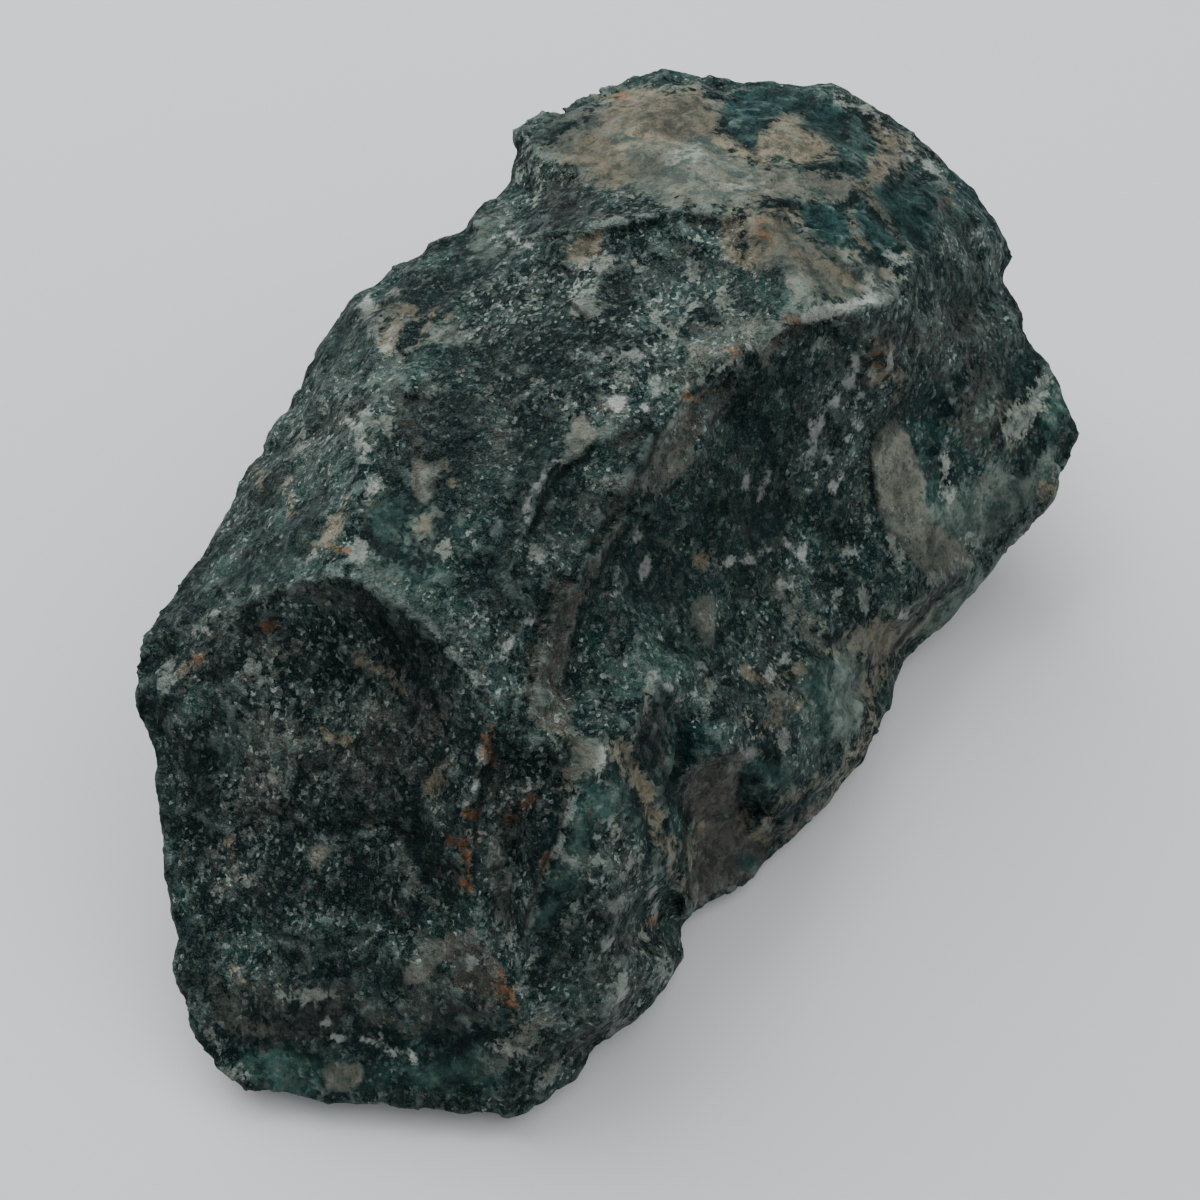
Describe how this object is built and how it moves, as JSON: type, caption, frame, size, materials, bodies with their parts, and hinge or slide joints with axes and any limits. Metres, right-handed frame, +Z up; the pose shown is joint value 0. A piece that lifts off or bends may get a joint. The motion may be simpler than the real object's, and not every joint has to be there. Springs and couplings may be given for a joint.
{
  "type": "raw aventurine",
  "caption": "Rough broken chunk of dark green stone with a ridged top, a hollow scar on one side, and a flat underside to rest on.",
  "frame": {"origin": "middle of the bounding box in plan, on the flat underside that the stone rests on", "axes": "+Z up; +X along the stone's longest extent, towards the high knob end; -Y is the side with the large hollow scar"},
  "size_m": [0.114, 0.062, 0.049],
  "materials": {
    "aventurine": "rough broken surface with a low satin sheen, dark teal-green with fine pale grey grain, green patches, pale crushed ridges and tan and orange iron stains"
  },
  "bodies": {
    "root": {"stone": "aventurine"}
  },
  "joints": []
}
